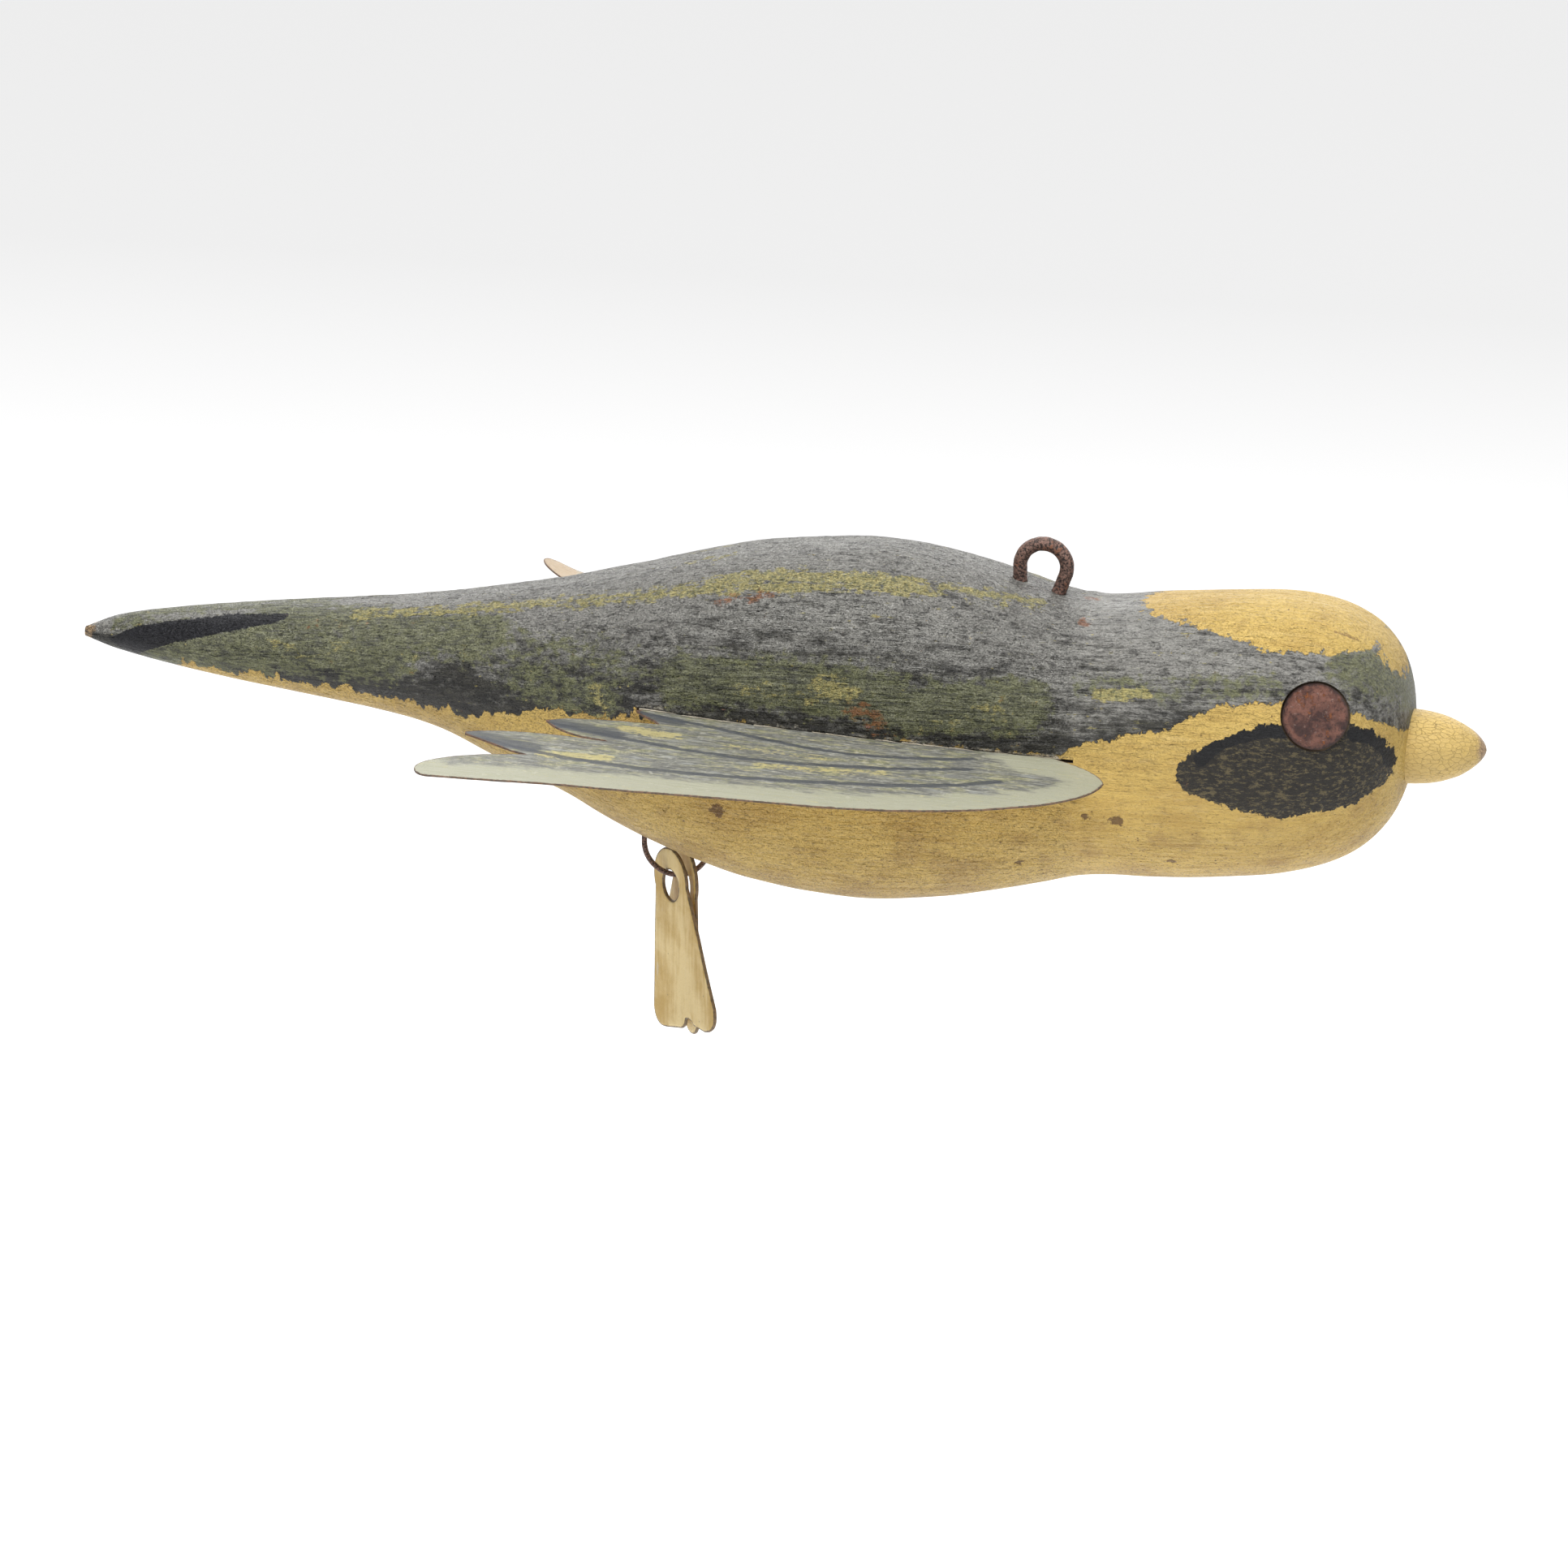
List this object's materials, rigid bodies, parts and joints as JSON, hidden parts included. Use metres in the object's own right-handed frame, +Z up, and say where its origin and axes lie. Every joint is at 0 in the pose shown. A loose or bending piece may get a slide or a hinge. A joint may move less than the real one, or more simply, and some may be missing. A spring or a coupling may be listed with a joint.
{
  "type": "hanging bird decoy",
  "caption": "Carved and painted wooden bird decoy with flat tin wings let into its flanks, tack eyes, a wire line loop on its back and loose tin feet hanging from a belly wire.",
  "frame": {"origin": "highest point inside the line loop on the bird's back, where the line pulls", "axes": "+X towards the beak, +Y towards the bird's left wing, +Z up"},
  "size_m": [0.35, 0.1798, 0.1327],
  "materials": {
    "painted_wood": "carved softwood, hand painted in ochre, charcoal and green, worn and cracked",
    "beak_wood": "whittled softwood painted ochre, bare at the tip",
    "staple_iron": "brown rusted fence wire",
    "wing_tin": "sheet metal hand painted pale grey-green over ochre, rusty at the edge",
    "brad_iron": "rusted brads",
    "eye_iron": "domed tack heads, evenly rusted and pitted",
    "wire_iron": "rusted thin wire",
    "foot_tin": "sheet metal painted cream, dark at the cut edge"
  },
  "bodies": {
    "carving": {"body": "painted_wood", "beak": "beak_wood", "line_staple": "staple_iron", "right_wing": "wing_tin", "left_wing": "wing_tin", "right_rear_brad": "brad_iron", "right_front_brad": "brad_iron", "left_rear_brad": "brad_iron", "left_front_brad": "brad_iron", "right_eye_tack": "eye_iron", "left_eye_tack": "eye_iron", "foot_wire": "wire_iron"},
    "right_foot": {"right_foot": "foot_tin"},
    "left_foot": {"left_foot": "foot_tin"}
  },
  "joints": [
    {"name": "right_foot_swing", "type": "hinge", "parent": "carving", "child": "right_foot", "pos_m": [-0.093, 0, -0.0887], "axis": [1, 0, 0], "range_deg": [-40, 40]},
    {"name": "left_foot_swing", "type": "hinge", "parent": "carving", "child": "left_foot", "pos_m": [-0.089, 0, -0.08845], "axis": [1, 0, 0], "range_deg": [-40, 40]}
  ],
  "couplings": [
    {"joint": "left_foot_swing", "follows": "right_foot_swing", "ratio": 1}
  ]
}
